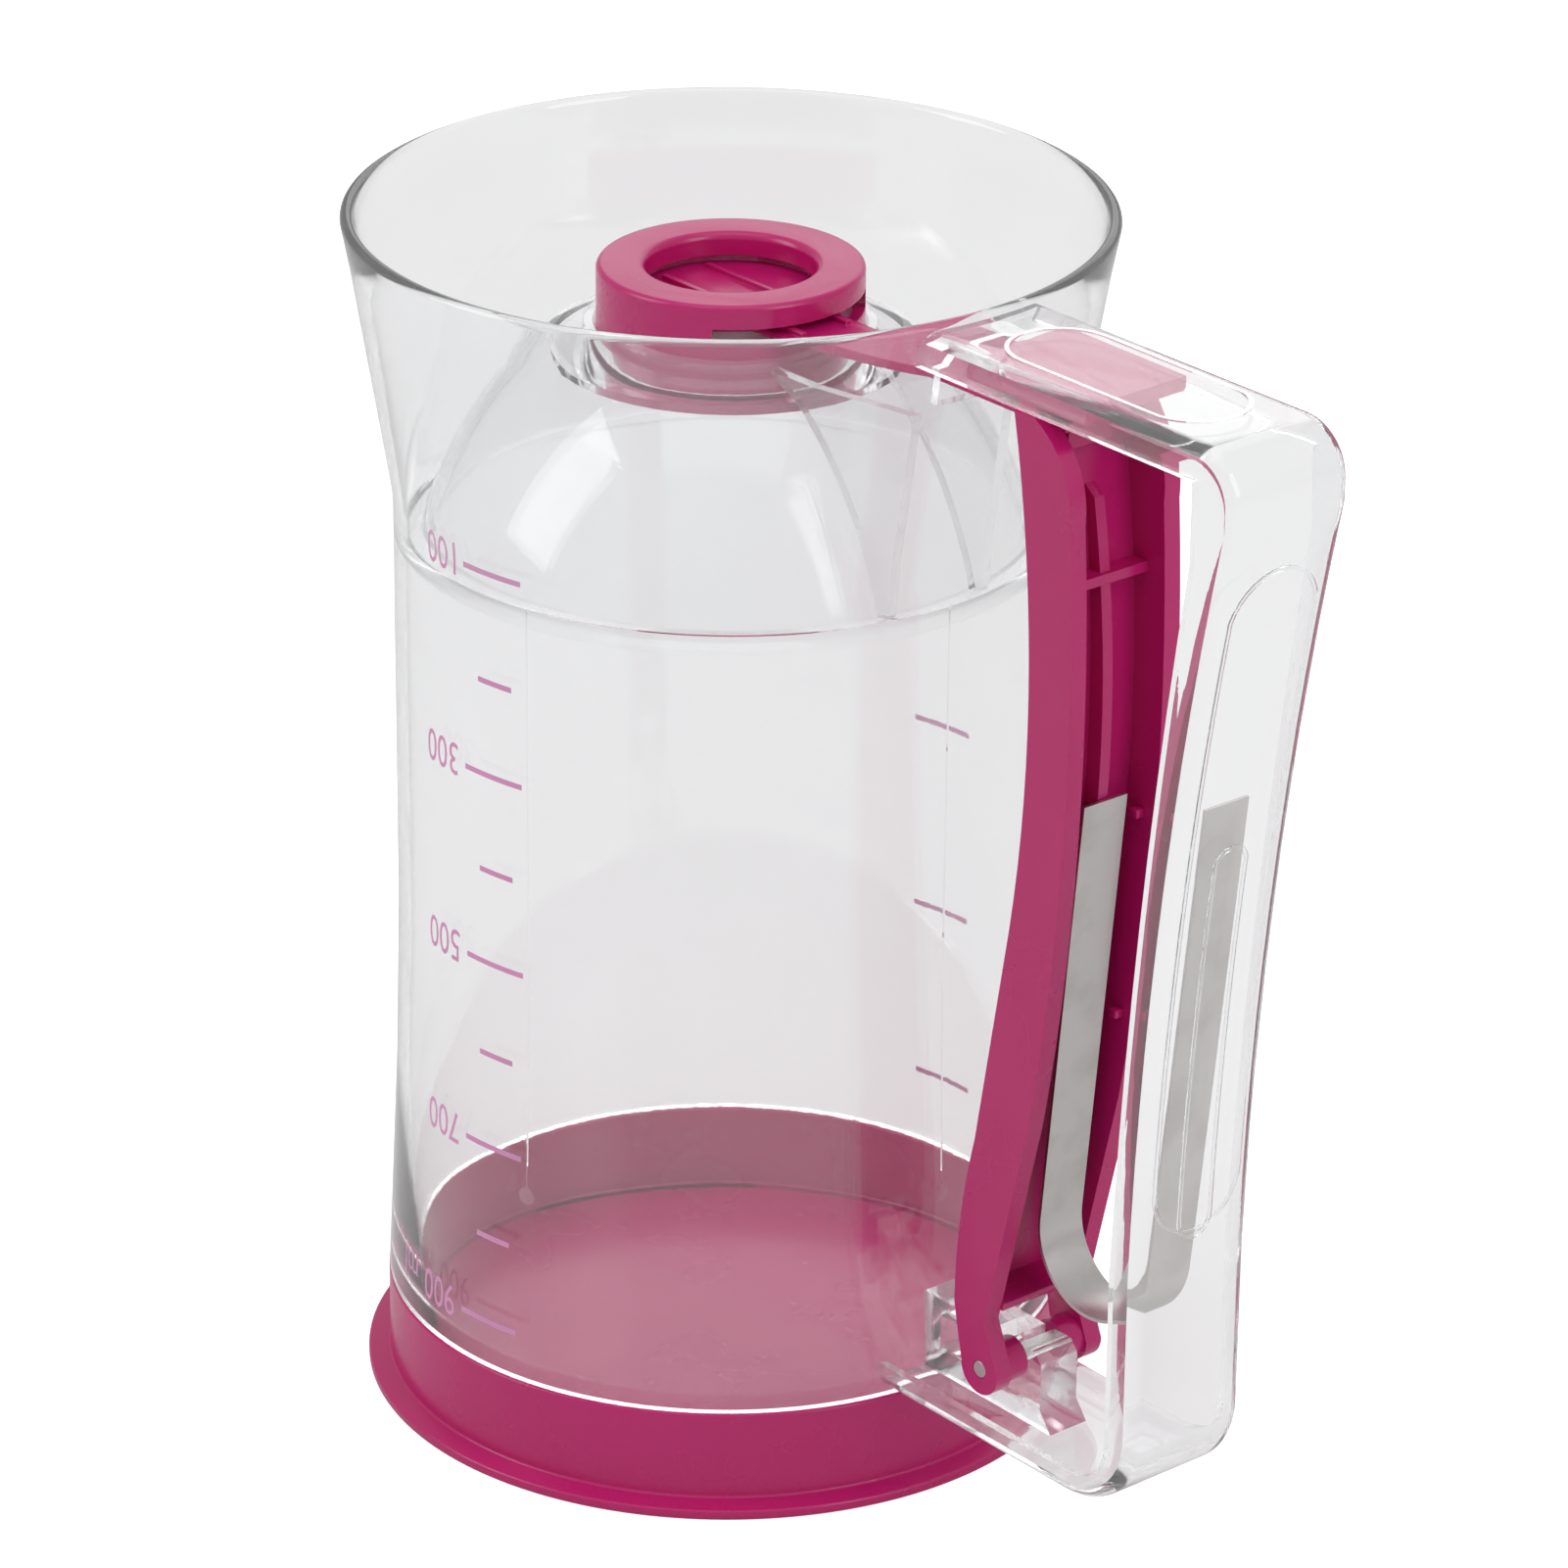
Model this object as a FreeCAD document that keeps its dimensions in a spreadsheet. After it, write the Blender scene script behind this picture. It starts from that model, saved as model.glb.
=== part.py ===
import FreeCAD, Part
import math
import os
import sys
import Sketcher
from FreeCAD import Vector

# Pancake batter dispenser, standing on its lid as it is stored and filled.
# Millimetres. Origin on the axis of the jug at the face it stands on, +Z up, handle towards +X.

doc = FreeCAD.newDocument("BatterDispenser")

# Driving dimensions: name, value in millimetres or degrees
SIZES = [
    # Jug
    ("jug_wall", 2.0),
    ("jug_top", 184.0),
    ("rim_radius", 55.9),
    ("skirt_foot", 141.3),
    ("body_radius", 48.9),
    ("body_straight_from", 80.0),
    ("base_radius", 51.0),
    ("flare_radius", 49.5),
    ("flare_height", 50.0),
    ("rim_round", 0.7),
    ("dome_foot", 137.0),
    ("dome_foot_radius", 44.5),
    ("dome_crown", 164.0),
    ("dome_crown_radius", 27.0),
    ("dome_bulge", 2.5),
    ("collar_radius", 21.4),
    ("collar_wall", 1.8),
    ("collar_top", 167.0),
    ("neck_floor", 162.0),
    ("neck_radius", 14.0),
    ("neck_bore", 7.0),
    ("neck_top", 167.8),
    ("gusset_half_gap", 7.6),
    ("gusset_wall", 1.6),
    ("gusset_top", 169.4),
    ("slot_sill", 171.0),
    ("slot_rise", 5.8),
    # Lid
    ("flange_radius", 54.4),
    ("flange_height", 1.5),
    ("lid_floor", 2.6),
    ("lid_height", 15.7),
    ("lid_wall", 1.3),
    ("lid_fit", 0.1),
    ("ledge_gap", 0.3),
    # Valve cap
    ("cap_top", 175.8),
    ("cap_disc", 3.5),
    ("cap_hole", 12.3),
    ("cap_wall", 1.8),
    ("cap_fit", 0.2),
    ("cap_round", 1.2),
    ("cap_window_sill", 169.3),
    # Seal ring
    ("seal_bore", 8.0),
    ("seal_radius", 13.0),
    ("seal_top", 169.9),
    # Shutter plate
    ("plate_radius", 13.6),
    ("plate_lift", 0.1),
    ("plate_thick", 1.2),
    ("plate_rib_height", 0.9),
    ("plate_rib_half_gap", 3.6),
    ("plate_rib_wall", 1.0),
    ("tail_half", 6.2),
    ("ramp_start", 25.0),
    ("ramp_end", 50.0),
    ("tail_lift", 4.4),
    ("tail_end", 78.6),
    ("tail_side_gap", 0.6),
    ("lug_height", 2.8),
    ("lug_length", 1.6),
    ("lug_gap", 0.8),
    # Handle
    ("handle_width", 23.0),
    ("handle_flank", 1.3),
    ("handle_floor", 1.9),
    ("handle_round", 3.0),
    ("strap_thick", 4.4),
    ("arm_thick", 5.0),
    ("arm_top", 183.0),
    ("grip_top_reach", 116.4),
    ("grip_top_drop", 3.0),
    ("grip_top_lean", 2.1),
    ("grip_inner_drop", 6.0),
    ("grip_mid_reach", 107.2),
    ("grip_mid_height", 118.0),
    ("grip_low_reach", 102.6),
    ("grip_low_height", 56.0),
    ("top_corner", 8.0),
    ("low_arm_bottom", 17.2),
    ("low_corner", 13.0),
    ("low_inner_corner", 7.0),
    ("root_inset", 6.0),
    # Pivot bracket on the lower arm of the handle
    ("bracket_width", 7.0),
    ("bracket_reach", 76.0),
    ("bracket_top", 31.2),
    ("bracket_window_from", 54.0),
    ("bracket_window_to", 63.0),
    ("bracket_window_low", 23.6),
    ("bracket_window_high", 28.6),
    ("snap_slot", 2.0),
    # Hinge pin
    ("pin_reach", 70.0),
    ("pin_height", 28.7),
    ("pin_radius", 1.3),
    ("pin_length", 20.2),
    ("pin_fit", 0.05),
    # Trigger lever
    ("lever_width", 20.2),
    ("lever_flank", 2.9),
    ("lever_web", 2.4),
    ("lug_radius", 3.9),
    ("boss_fit", 0.1),
    ("boss_radius", 3.3),
    ("web_low_reach", 64.3),
    ("web_low_height", 37.5),
    ("web_bow_reach", 65.3),
    ("web_bow_height", 52.0),
    ("web_slope_reach", 67.9),
    ("web_slope_height", 65.0),
    ("web_bend_reach", 74.1),
    ("web_bend_height", 100.0),
    ("web_mid_reach", 76.9),
    ("web_mid_height", 137.0),
    ("web_top_reach", 72.6),
    ("lever_shoulder", 177.0),
    ("flank_low_reach", 70.7),
    ("flank_low_height", 36.5),
    ("flank_bend_reach", 79.0),
    ("flank_bend_height", 70.5),
    ("flank_mid_reach", 84.7),
    ("flank_mid_height", 116.0),
    ("flank_top_reach", 84.3),
    ("flank_top_height", 163.0),
    ("crown_reach", 82.3),
    ("crown_height", 172.0),
    ("shoulder_reach", 76.6),
    ("head_width", 18.0),
    ("head_from", 62.0),
    ("head_to", 86.0),
    ("head_low", 178.3),
    ("head_top", 180.3),
    ("neck_post", 2.6),
    ("window_sill", 173.6),
    ("channel_overcut", 5.0),
    ("rib_wall", 1.8),
    ("rib_low", 118.8),
    ("rib_high", 168.0),
    ("rib_setback", 3.2),
    ("cross_rib_height", 152.7),
    ("cross_rib_wall", 1.5),
    # Leaf spring
    ("leaf_width", 8.0),
    ("leaf_thick", 0.5),
    ("leaf_rib_gap", 0.3),
    ("leaf_tip_height", 119.8),
    ("leaf_low_reach", 85.5),
    ("leaf_low_height", 41.6),
    ("leaf_lever_bend", 10.5),
    ("leaf_grip_bend", 12.3),
    ("leaf_grip_height", 127.8),
    ("leaf_grip_gap", 0.2),
]

sheet = doc.addObject("Spreadsheet::Sheet", "Sizes")
for row, (alias, value) in enumerate(SIZES, start=1):
    sheet.set("A%d" % row, alias)
    sheet.set("B%d" % row, repr(value))
    sheet.setAlias("B%d" % row, alias)
doc.recompute()


def size(expression):
    """The value of an expression in the sheet's names."""
    value = sheet.evalExpression(expression)
    return float(getattr(value, "Value", value))


def bound(expression):
    """The expression as objects outside the sheet write it."""
    words = expression
    names = sorted((alias for alias, value in SIZES), key=len, reverse=True)
    marks = {}
    for number, alias in enumerate(names):
        if alias in words:
            mark = "<%d>" % number
            words = words.replace(alias, mark)
            marks[mark] = "Sizes." + alias
    for mark, name in marks.items():
        words = words.replace(mark, name)
    return words


def bind(target, path, expression):
    target.setExpression(path, bound(expression))


def body(label):
    made = doc.addObject("PartDesign::Body", label)
    made.Label = label
    return made


def plane_of(owner, role):
    return next(item for item in owner.Origin.OriginFeatures if item.Role == role)


def sketch_on(owner, name, role, lift=None):
    """A sketch on one of the body's own origin planes, lifted along its normal."""
    made = owner.newObject("Sketcher::SketchObject", name)
    made.AttachmentSupport = (plane_of(owner, role), "")
    made.MapMode = "FlatFace"
    if lift is not None:
        bind(made, "AttachmentOffset.Base.z", lift)
    return made


def at(point):
    return Vector(size(point[0]), size(point[1]), 0)


def pin_down(sketch, geometry, vertex, point):
    """Hold a vertex at two expressions."""
    for kind, expression in (("DistanceX", point[0]), ("DistanceY", point[1])):
        number = sketch.addConstraint(Sketcher.Constraint(kind, geometry, vertex, size(expression)))
        bind(sketch, "Constraints[%d]" % number, expression)


def outline(owner, name, role, steps, lift=None):
    """A closed outline. Each step is a corner, or a point that the arc to the next corner passes."""
    sketch = sketch_on(owner, name, role, lift)
    corners = [step for step in steps if step[0] != "through"]
    through = {}
    count = -1
    for step in steps:
        if step[0] == "through":
            through[count] = step[1:]
        else:
            count += 1
    for number, corner in enumerate(corners):
        start = at(corner)
        end = at(corners[(number + 1) % len(corners)])
        if number in through:
            edge = Part.Arc(start, at(through[number]), end)
        else:
            edge = Part.LineSegment(start, end)
        sketch.addGeometry(edge, False)
    for number in range(len(corners)):
        # An arc that turns clockwise starts at its second vertex
        follower = (number + 1) % len(corners)
        last = end_vertex(sketch, number, corners[follower])
        first = end_vertex(sketch, follower, corners[follower])
        sketch.addConstraint(Sketcher.Constraint("Coincident", number, last, follower, first))
        pin_down(sketch, follower, first, corners[follower])
    for number, point in through.items():
        mark = sketch.addGeometry(Part.Point(at(point)), True)
        pin_down(sketch, mark, 1, point)
        sketch.addConstraint(Sketcher.Constraint("PointOnObject", mark, 1, number))
    return sketch


def end_vertex(sketch, number, corner):
    """Which vertex of the edge lies at the corner."""
    target = at(corner)
    first = sketch.getPoint(number, 1)
    second = sketch.getPoint(number, 2)
    return 1 if first.distanceToPoint(target) < second.distanceToPoint(target) else 2


def circles(owner, name, radii, lift, centre=("0", "0"), role="XY_Plane"):
    """Concentric circles about a centre."""
    sketch = sketch_on(owner, name, role, lift)
    for radius in radii:
        ring = Part.Circle(at(centre), Vector(0, 0, 1), size(radius))
        number = sketch.addGeometry(ring, False)
        pin_down(sketch, number, 3, centre)
        fixed = sketch.addConstraint(Sketcher.Constraint("Radius", number, size(radius)))
        bind(sketch, "Constraints[%d]" % fixed, radius)
    return sketch


def rectangle(owner, name, role, low, high, lift=None):
    corners = [(low[0], low[1]), (high[0], low[1]), (high[0], high[1]), (low[0], high[1])]
    return outline(owner, name, role, corners, lift)


def turned(owner, name, sketch, cut=False):
    """Turn a sketch once round the jug's axis."""
    kind = "PartDesign::Groove" if cut else "PartDesign::Revolution"
    made = owner.newObject(kind, name)
    made.Profile = sketch
    made.ReferenceAxis = (sketch, ["V_Axis"])
    made.Angle = 360
    return made


def pad(owner, name, sketch, length, symmetric=False, reverse=False):
    made = owner.newObject("PartDesign::Pad", name)
    made.Profile = sketch
    if symmetric:
        made.SideType = "Symmetric"
    made.Reversed = reverse
    bind(made, "Length", length)
    return made


def pocket(owner, name, sketch, length, symmetric=False, reverse=False):
    """A cut that must take something away."""
    doc.recompute()
    before = owner.Shape.Volume
    made = owner.newObject("PartDesign::Pocket", name)
    made.Profile = sketch
    if symmetric:
        made.SideType = "Symmetric"
    made.Reversed = reverse
    bind(made, "Length", length)
    doc.recompute()
    if not owner.Shape.Volume < before - 0.01:
        sys.exit("%s cuts nothing" % name)
    return made


def rounded(owner, name, edges, radius):
    """Round the edges of the body's last feature that a test picks out."""
    doc.recompute()
    base = owner.Tip
    names = ["Edge%d" % number for number, edge in enumerate(base.Shape.Edges, start=1) if edges(edge)]
    made = owner.newObject("PartDesign::Fillet", name)
    made.Base = (base, names)
    bind(made, "Radius", radius)
    return made


def ring_edge(radius, height):
    """Pick the circular edge of a radius at a height."""
    def test(edge):
        curve = edge.Curve
        if not isinstance(curve, Part.Circle):
            return False
        return abs(curve.Radius - size(radius)) < 0.01 and abs(curve.Center.z - size(height)) < 0.01
    return test


# Names that several pieces share
MOUTH_RADIUS = "(base_radius - lid_wall)"
LEDGE = "(lid_height + ledge_gap)"
PLATE_LOW = "(seal_top + plate_lift)"
PLATE_TOP = "(seal_top + plate_lift + plate_thick)"
TAIL_LOW = "(seal_top + plate_lift + tail_lift)"
TAIL_TOP = "(seal_top + plate_lift + tail_lift + plate_thick)"
COLLAR_BORE = "(collar_radius - collar_wall)"
GRIP_TOP = "(arm_top - top_corner - grip_top_drop)"
CHANNEL_MOUTH = "(max(flank_mid_reach; flank_top_reach) + channel_overcut)"
CAP_RADIUS = "(collar_radius - collar_wall - cap_fit)"
CAP_DISC_LOW = "(cap_top - cap_disc)"
DOME_MID = ("((dome_foot_radius + dome_crown_radius) / 2 + dome_bulge * 0.83)",
            "((dome_foot + dome_crown) / 2 + dome_bulge * 0.55)")


def outer_wall():
    """The outside of the jug wall from the mouth up to the rim."""
    return [
        (MOUTH_RADIUS, "lid_floor"),
        (MOUTH_RADIUS, LEDGE),
        ("base_radius", LEDGE),
        ("flare_radius", "flare_height"),
        ("body_radius", "body_straight_from"),
        ("body_radius", "skirt_foot"),
        ("rim_radius", "jug_top"),
    ]


def make_jug():
    jug = body("jug_body")
    wall = outer_wall() + [
        ("rim_radius - jug_wall", "jug_top"),
        ("body_radius - jug_wall", "skirt_foot"),
        ("body_radius - jug_wall", "body_straight_from"),
        ("flare_radius - jug_wall", "flare_height"),
        ("base_radius - jug_wall", "(%s + 4)" % LEDGE),
        (MOUTH_RADIUS + " - jug_wall", LEDGE),
        (MOUTH_RADIUS + " - jug_wall", "lid_floor"),
    ]
    turned(jug, "JugWall", outline(jug, "JugWallOutline", "XZ_Plane", wall))
    dome = [
        ("body_radius - jug_wall", "dome_foot - jug_wall"),
        ("body_radius - jug_wall / 2", "dome_foot - jug_wall"),
        ("body_radius - jug_wall / 2", "dome_foot"),
        ("dome_foot_radius", "dome_foot"),
        ("through",) + DOME_MID,
        ("dome_crown_radius", "dome_crown"),
        ("collar_radius", "dome_crown + 0.8"),
        ("collar_radius", "collar_top"),
        (COLLAR_BORE, "collar_top"),
        (COLLAR_BORE, "neck_floor"),
        ("neck_radius", "neck_floor"),
        ("neck_radius", "neck_top"),
        ("neck_bore", "neck_top"),
        ("neck_bore", "neck_floor - jug_wall"),
        ("dome_crown_radius - 2 * jug_wall", "neck_floor - jug_wall"),
        ("through", DOME_MID[0] + " - jug_wall * 0.83", DOME_MID[1] + " - jug_wall * 0.7"),
        ("dome_foot_radius - jug_wall", "dome_foot - jug_wall"),
    ]
    turned(jug, "Dome", outline(jug, "DomeOutline", "XZ_Plane", dome))
    # Two gussets between the dome and the skirt carry the tail of the shutter
    gusset = [
        ("collar_radius - collar_wall / 2", "neck_floor"),
        ("dome_foot_radius - jug_wall", "dome_foot"),
        ("body_radius - jug_wall / 2", "dome_foot"),
        ("body_radius - jug_wall / 2", "skirt_foot"),
        ("body_radius + 3", "gusset_top"),
        ("collar_radius + 3", "collar_top"),
        ("collar_radius - collar_wall / 2", "collar_top"),
    ]
    for side, name in (("", "Near"), ("-", "Far")):
        lift = "%s(gusset_half_gap + gusset_wall / 2)" % side
        sketch = outline(jug, name + "GussetOutline", "XZ_Plane", gusset, lift)
        pad(jug, name + "Gusset", sketch, "gusset_wall", symmetric=True)
    slot = rectangle(jug, "SlotOutline", "YZ_Plane", ("-(tail_half + tail_side_gap)", "slot_sill"),
                     ("tail_half + tail_side_gap", "slot_sill + slot_rise"), "collar_radius + 5")
    pocket(jug, "SlideSlot", slot, "rim_radius", reverse=True)
    rounded(jug, "RimRound", ring_edge("rim_radius", "jug_top"), "rim_round")
    return jug


def make_lid():
    lid = body("lid")
    section = [
        ("0", "0"),
        ("flange_radius", "0"),
        ("flange_radius", "flange_height"),
        ("%s + lid_fit + lid_wall" % MOUTH_RADIUS, "flange_height + 0.4"),
        ("%s + lid_fit + lid_wall" % MOUTH_RADIUS, "lid_height"),
        ("%s + lid_fit" % MOUTH_RADIUS, "lid_height"),
        ("%s + lid_fit" % MOUTH_RADIUS, "lid_floor"),
        ("0", "lid_floor"),
    ]
    turned(lid, "LidShell", outline(lid, "LidOutline", "XZ_Plane", section))
    return lid


def make_cap():
    cap = body("valve_cap")
    section = [
        ("cap_hole", CAP_DISC_LOW),
        ("cap_hole", "cap_top"),
        (CAP_RADIUS, "cap_top"),
        (CAP_RADIUS, "neck_floor"),
        (CAP_RADIUS + " - cap_wall", "neck_floor"),
        (CAP_RADIUS + " - cap_wall", CAP_DISC_LOW),
    ]
    turned(cap, "CapShell", outline(cap, "CapOutline", "XZ_Plane", section))
    window = rectangle(cap, "WindowOutline", "YZ_Plane", ("-(plate_radius + tail_side_gap)", "cap_window_sill"),
                       ("plate_radius + tail_side_gap", CAP_DISC_LOW), "0")
    pocket(cap, "PlateWindow", window, "rim_radius", reverse=True)
    rounded(cap, "HoleRound", ring_edge("cap_hole", "cap_top"), "cap_round")
    rounded(cap, "RimOfCap", ring_edge(CAP_RADIUS, "cap_top"), "cap_round * 0.7")
    return cap


def make_seal():
    seal = body("nozzle_seal")
    ring = circles(seal, "RingOutline", ["seal_radius", "seal_bore"], "neck_top")
    pad(seal, "Ring", ring, "seal_top - neck_top")
    return seal


def make_shutter():
    plate = body("shutter_plate")
    pad(plate, "Disc", circles(plate, "DiscOutline", ["plate_radius"], PLATE_LOW), "plate_thick")
    tail = [
        ("0", PLATE_LOW),
        ("ramp_start", PLATE_LOW),
        ("ramp_end", TAIL_LOW),
        ("tail_end", TAIL_LOW),
        ("tail_end", TAIL_TOP),
        ("ramp_end", TAIL_TOP),
        ("ramp_start", PLATE_TOP),
        ("0", PLATE_TOP),
    ]
    pad(plate, "Tail", outline(plate, "TailOutline", "XZ_Plane", tail), "2 * tail_half", symmetric=True)
    for side, name in (("", "Near"), ("-", "Far")):
        low = "%s(plate_rib_half_gap)" % side
        high = "%s(plate_rib_half_gap + plate_rib_wall)" % side
        rib = rectangle(plate, name + "RibOutline", "XY_Plane", ("-plate_radius + 3.5", low),
                        ("collar_radius", high), "%s - 0.1" % PLATE_TOP)
        pad(plate, name + "Rib", rib, "plate_rib_height + 0.1 - 0.15")
    # Lugs that the web of the lever pushes from either side
    web = "(web_top_reach)"
    for name, low in (("OuterLug", web + " - lug_gap - lug_length"), ("InnerLug", web + " + 0.9 + lever_web + lug_gap")):
        lug = rectangle(plate, name + "Outline", "XZ_Plane", (low, TAIL_LOW + " - lug_height"),
                        (low + " + lug_length", TAIL_LOW + " + 0.1"))
        pad(plate, name, lug, "2 * tail_half - 2", symmetric=True)
    return plate


def quarter(reach, height, radius, across, up):
    """The middle of a quarter round about a centre, in the direction of two signs."""
    bend = "(%s) * sqrt(0.5)" % radius
    return ("through", "%s %s %s" % (reach, across, bend), "%s %s %s" % (height, up, bend))


def strap(inset):
    """The C of the handle, its outer line moved inwards by an inset, closed inside the jug."""
    root = "body_radius - root_inset"
    reach = "grip_%%s_reach - (%s)" % inset
    return [
        (root, "arm_top - (%s)" % inset),
        ("grip_top_reach - top_corner", "arm_top - (%s)" % inset),
        quarter("grip_top_reach - top_corner", "arm_top - top_corner", "top_corner - (%s)" % inset, "+", "+"),
        (reach % "top", "arm_top - top_corner"),
        (reach % "top", GRIP_TOP),
        ("through", reach % "mid", "grip_mid_height"),
        (reach % "low", "grip_low_height"),
        (reach % "low", "low_arm_bottom + low_corner"),
        quarter("grip_low_reach - low_corner", "low_arm_bottom + low_corner", "low_corner - (%s)" % inset, "+", "-"),
        ("grip_low_reach - low_corner", "low_arm_bottom + (%s)" % inset),
        (root, "low_arm_bottom + (%s)" % inset),
    ]


def long_edges(half_width, line):
    """Pick the edges at the two sides whose ends are both corners of a line."""
    corners = [at(step) for step in line if step[0] != "through"]

    def on_corner(point):
        return any(corner.distanceToPoint(Vector(point.x, point.z, 0)) < 0.01 for corner in corners)

    def test(edge):
        box = edge.BoundBox
        if box.YLength > 0.01 or abs(abs(box.YMin) - size(half_width)) > 0.01:
            return False
        return all(on_corner(vertex.Point) for vertex in edge.Vertexes)
    return test


def make_handle():
    handle = body("handle")
    outer = strap("0")
    c_line = outer + [
        ("body_radius - root_inset", "low_arm_bottom + strap_thick"),
        ("grip_low_reach - strap_thick - low_inner_corner", "low_arm_bottom + strap_thick"),
        quarter("grip_low_reach - strap_thick - low_inner_corner",
                "low_arm_bottom + strap_thick + low_inner_corner", "low_inner_corner", "+", "-"),
        ("grip_low_reach - strap_thick", "low_arm_bottom + strap_thick + low_inner_corner"),
        ("grip_low_reach - strap_thick", "grip_low_height"),
        ("through", "grip_mid_reach - strap_thick", "grip_mid_height"),
        ("grip_top_reach - arm_thick - grip_top_lean", GRIP_TOP + " - grip_inner_drop"),
        ("grip_top_reach - arm_thick - grip_top_lean", "arm_top - arm_thick"),
        ("body_radius - root_inset", "arm_top - arm_thick"),
    ]
    pad(handle, "Strap", outline(handle, "StrapOutline", "XZ_Plane", c_line), "handle_width", symmetric=True)
    rounded(handle, "OuterRound", long_edges("handle_width / 2", outer), "handle_round")
    channel = outline(handle, "ChannelOutline", "XZ_Plane", strap("handle_floor"))
    pocket(handle, "Channel", channel, "handle_width - 2 * handle_flank", symmetric=True)
    # The bracket that holds the pin stands on the floor of the lower arm
    bracket = [
        ("body_radius - root_inset", "low_arm_bottom + handle_floor / 2"),
        ("bracket_reach + 3", "low_arm_bottom + handle_floor / 2"),
        ("bracket_reach", "low_arm_bottom + handle_floor + 3"),
        ("bracket_reach", "bracket_top - 1.5"),
        ("bracket_reach - 1.5", "bracket_top"),
        ("body_radius - root_inset", "bracket_top"),
    ]
    outline_of_bracket = outline(handle, "BracketOutline", "XZ_Plane", bracket)
    pad(handle, "Bracket", outline_of_bracket, "bracket_width", symmetric=True)
    window = rectangle(handle, "BracketWindow", "XZ_Plane", ("bracket_window_from", "bracket_window_low"),
                       ("bracket_window_to", "bracket_window_high"))
    pocket(handle, "BracketCut", window, "bracket_width + 1", symmetric=True)
    bore = circles(handle, "BoreOutline", ["pin_radius + pin_fit"], "0", ("pin_reach", "pin_height"), "XZ_Plane")
    pocket(handle, "PinBore", bore, "bracket_width + 1", symmetric=True)
    slot = rectangle(handle, "SnapSlotOutline", "XZ_Plane", ("pin_reach - snap_slot / 2", "pin_height"),
                     ("pin_reach + snap_slot / 2", "bracket_top + 1"))
    pocket(handle, "SnapSlot", slot, "bracket_width + 1", symmetric=True)
    # The root is cut to the outside of the jug, which it is moulded to
    inside = [("0", "lid_floor")] + outer_wall() + [("0", "jug_top")]
    doc.recompute()
    before = handle.Shape.Volume
    turned(handle, "RootCut", outline(handle, "RootCutOutline", "XZ_Plane", inside), cut=True)
    doc.recompute()
    if not handle.Shape.Volume < before - 1:
        sys.exit("the root of the handle is not cut")
    return handle


def lever_line(web_shift):
    """The web's face towards the jug, from below upwards, moved out by a shift."""
    return [
        ("web_low_reach" + web_shift, "web_low_height"),
        ("through", "web_bow_reach" + web_shift, "web_bow_height"),
        ("web_slope_reach" + web_shift, "web_slope_height"),
        ("web_bend_reach" + web_shift, "web_bend_height"),
        ("through", "web_mid_reach" + web_shift, "web_mid_height"),
        ("web_top_reach" + web_shift, "lever_shoulder"),
    ]


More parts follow.
